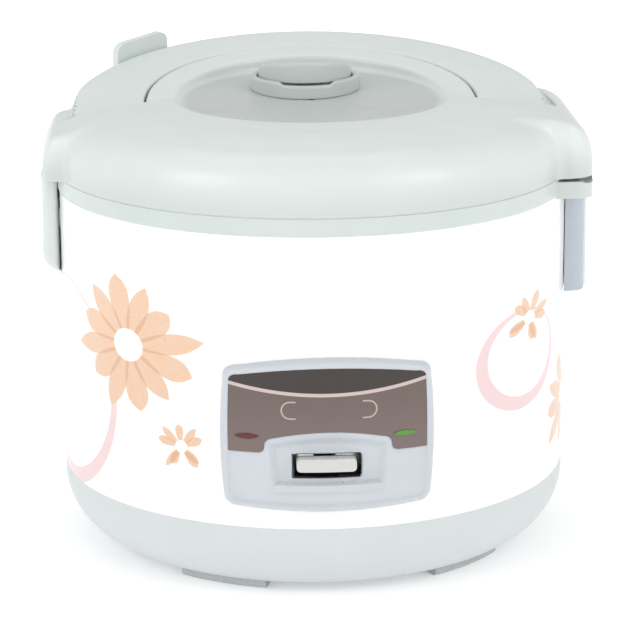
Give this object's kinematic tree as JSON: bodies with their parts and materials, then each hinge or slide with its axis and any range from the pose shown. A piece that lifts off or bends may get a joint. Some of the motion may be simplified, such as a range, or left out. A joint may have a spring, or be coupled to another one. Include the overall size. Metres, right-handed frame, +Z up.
{
  "type": "rice cooker",
  "caption": "Electric jar rice cooker: painted steel body, latched side-hinged lid with folding carrying handle, steam vent, dew collector, front switch and inner pot.",
  "frame": {"origin": "on the body's axis at floor level, midway in the overall width and depth", "axes": "+Z up, -Y the front with the switch panel, +X the hinge side with the dew collector, -X the latch side"},
  "size_m": [0.286, 0.2758, 0.2505],
  "materials": {
    "white_enamel": "gloss baked enamel with a printed flower pattern",
    "lid_plastic": "smooth semi-gloss moulded plastic",
    "ring_plastic": "smooth semi-gloss moulded plastic",
    "base_plastic": "fine satin moulded plastic",
    "frame_plastic": "satin moulded plastic",
    "panel_print": "printed taupe film with a lighter curved stripe",
    "red_lens": "clear red moulded lens",
    "green_lens": "clear green moulded lens",
    "lever_plastic": "polished white plastic",
    "clear_plastic": "translucent smoky plastic",
    "pot_aluminium": "anodised outside, dark non-stick coating inside",
    "cast_aluminium": "turned cast aluminium",
    "sheet_aluminium": "brushed sheet",
    "steel": "zinc plated sheet",
    "bright_steel": "bright drawn steel",
    "screw_steel": "zinc plated",
    "rubber_grey": "matt silicone rubber",
    "inner_plastic": "satin moulded plastic",
    "black_plastic": "matt black plastic",
    "brass": "plain brass",
    "ceramic_block": "unglazed ceramic",
    "ferrite": "dark sintered ferrite",
    "heater_tape": "woven glass insulation around a resistance wire",
    "small_parts": "nickel plated",
    "wire_insulation": "silicone wire insulation",
    "board": "phenolic board"
  },
  "bodies": {
    "housing": {"outer_jacket": "white_enamel", "base_shell": "base_plastic", "bottom_cover": "steel", "bottom_cover_screws": "screw_steel", "feet": "rubber_grey", "top_ring": "ring_plastic", "heat_shield": "sheet_aluminium", "heating_plate": "cast_aluminium", "heating_element": "steel", "heating_plate_screws": "screw_steel", "thermostat_housing": "steel", "thermostat_spring": "bright_steel", "switch_bracket": "steel", "switch_lever_pin": "bright_steel", "switch_lever_spring": "bright_steel", "microswitch": "black_plastic", "thermal_fuse": "small_parts", "warm_thermostat": "small_parts", "side_heater": "heater_tape", "terminal_block": "ceramic_block", "power_inlet": "black_plastic", "power_inlet_blades": "brass", "internal_wiring": "wire_insulation", "panel_frame": "frame_plastic", "panel_plate": "panel_print", "cook_lamp_lens": "red_lens", "warm_lamp_lens": "green_lens", "lamp_board": "board", "panel_screws": "screw_steel", "latch_bracket": "steel", "latch_pin": "bright_steel", "latch_spring": "bright_steel", "hinge_bracket": "steel", "hinge_screws": "screw_steel"},
    "lid": {"lid_shell": "lid_plastic", "lid_inner_frame": "inner_plastic", "inner_lid_plate": "sheet_aluminium", "inner_lid_grommet": "rubber_grey", "lid_gasket": "rubber_grey", "steam_vent_collar": "lid_plastic", "steam_vent_seal": "rubber_grey", "hinge_pin": "bright_steel", "hinge_spring": "bright_steel", "lid_screws": "screw_steel"},
    "handle": {"carrying_handle": "lid_plastic", "handle_underside": "lid_plastic", "handle_lift_tab": "lid_plastic", "handle_pins": "bright_steel", "handle_screws": "screw_steel"},
    "vent_cap": {"steam_vent_cap": "lid_plastic"},
    "pot": {"inner_pot": "pot_aluminium"},
    "switch": {"switch_lever": "lever_plastic"},
    "magnet": {"lift_magnet": "ferrite", "magnet_rod": "steel"},
    "thermostat": {"thermostat_cap": "cast_aluminium", "thermostat_ferrite": "ferrite"},
    "latch": {"latch_lever": "lid_plastic"},
    "dew_collector": {"dew_collector": "clear_plastic", "dew_collector_cup": "clear_plastic"}
  },
  "joints": [
    {"name": "lid_hinge", "type": "hinge", "parent": "housing", "child": "lid", "pos_m": [0.1388, 0, 0.201], "axis": [0, 1, 0], "range_deg": [0, 80]},
    {"name": "handle_fold", "type": "hinge", "parent": "lid", "child": "handle", "pos_m": [0, 0.002, 0.2256], "axis": [1, 0, 0], "range_deg": [0, 82]},
    {"name": "vent_cap_lift", "type": "slide", "parent": "lid", "child": "vent_cap", "axis": [0, 0, 1], "range_m": [0, 0.03]},
    {"name": "inner_pot_turn", "type": "hinge", "parent": "housing", "child": "pot", "pos_m": [0, 0, 0.06], "axis": [0, 0, 1], "continuous": true},
    {"name": "switch_press", "type": "hinge", "parent": "housing", "child": "switch", "pos_m": [0, -0.07, 0.031], "axis": [1, 0, 0], "range_deg": [0, 3.58], "stiffness_Nm_per_rad": 0.1, "springref_deg": -17.19},
    {"name": "magnet_lift", "type": "slide", "parent": "housing", "child": "magnet", "axis": [0, 0, 1], "range_m": [0, 0.0042], "stiffness_N_per_m": 0.5, "springref_m": 0.1265},
    {"name": "thermostat_press", "type": "slide", "parent": "housing", "child": "thermostat", "axis": [0, 0, 1], "range_m": [-0.0015, 0], "stiffness_N_per_m": 400, "springref_m": 0.004, "deforming": ["thermostat_spring"]},
    {"name": "latch_release", "type": "hinge", "parent": "housing", "child": "latch", "pos_m": [-0.1362, 0, 0.172], "axis": [0, -1, 0], "range_deg": [0, 5], "stiffness_Nm_per_rad": 0.2, "springref_deg": -5.73},
    {"name": "dew_collector_pull", "type": "slide", "parent": "housing", "child": "dew_collector", "axis": [1, 0, 0], "range_m": [0, 0.05]}
  ],
  "couplings": [
    {"joint": "magnet_lift", "follows": "switch_press", "m_per_rad": 0.0656}
  ]
}
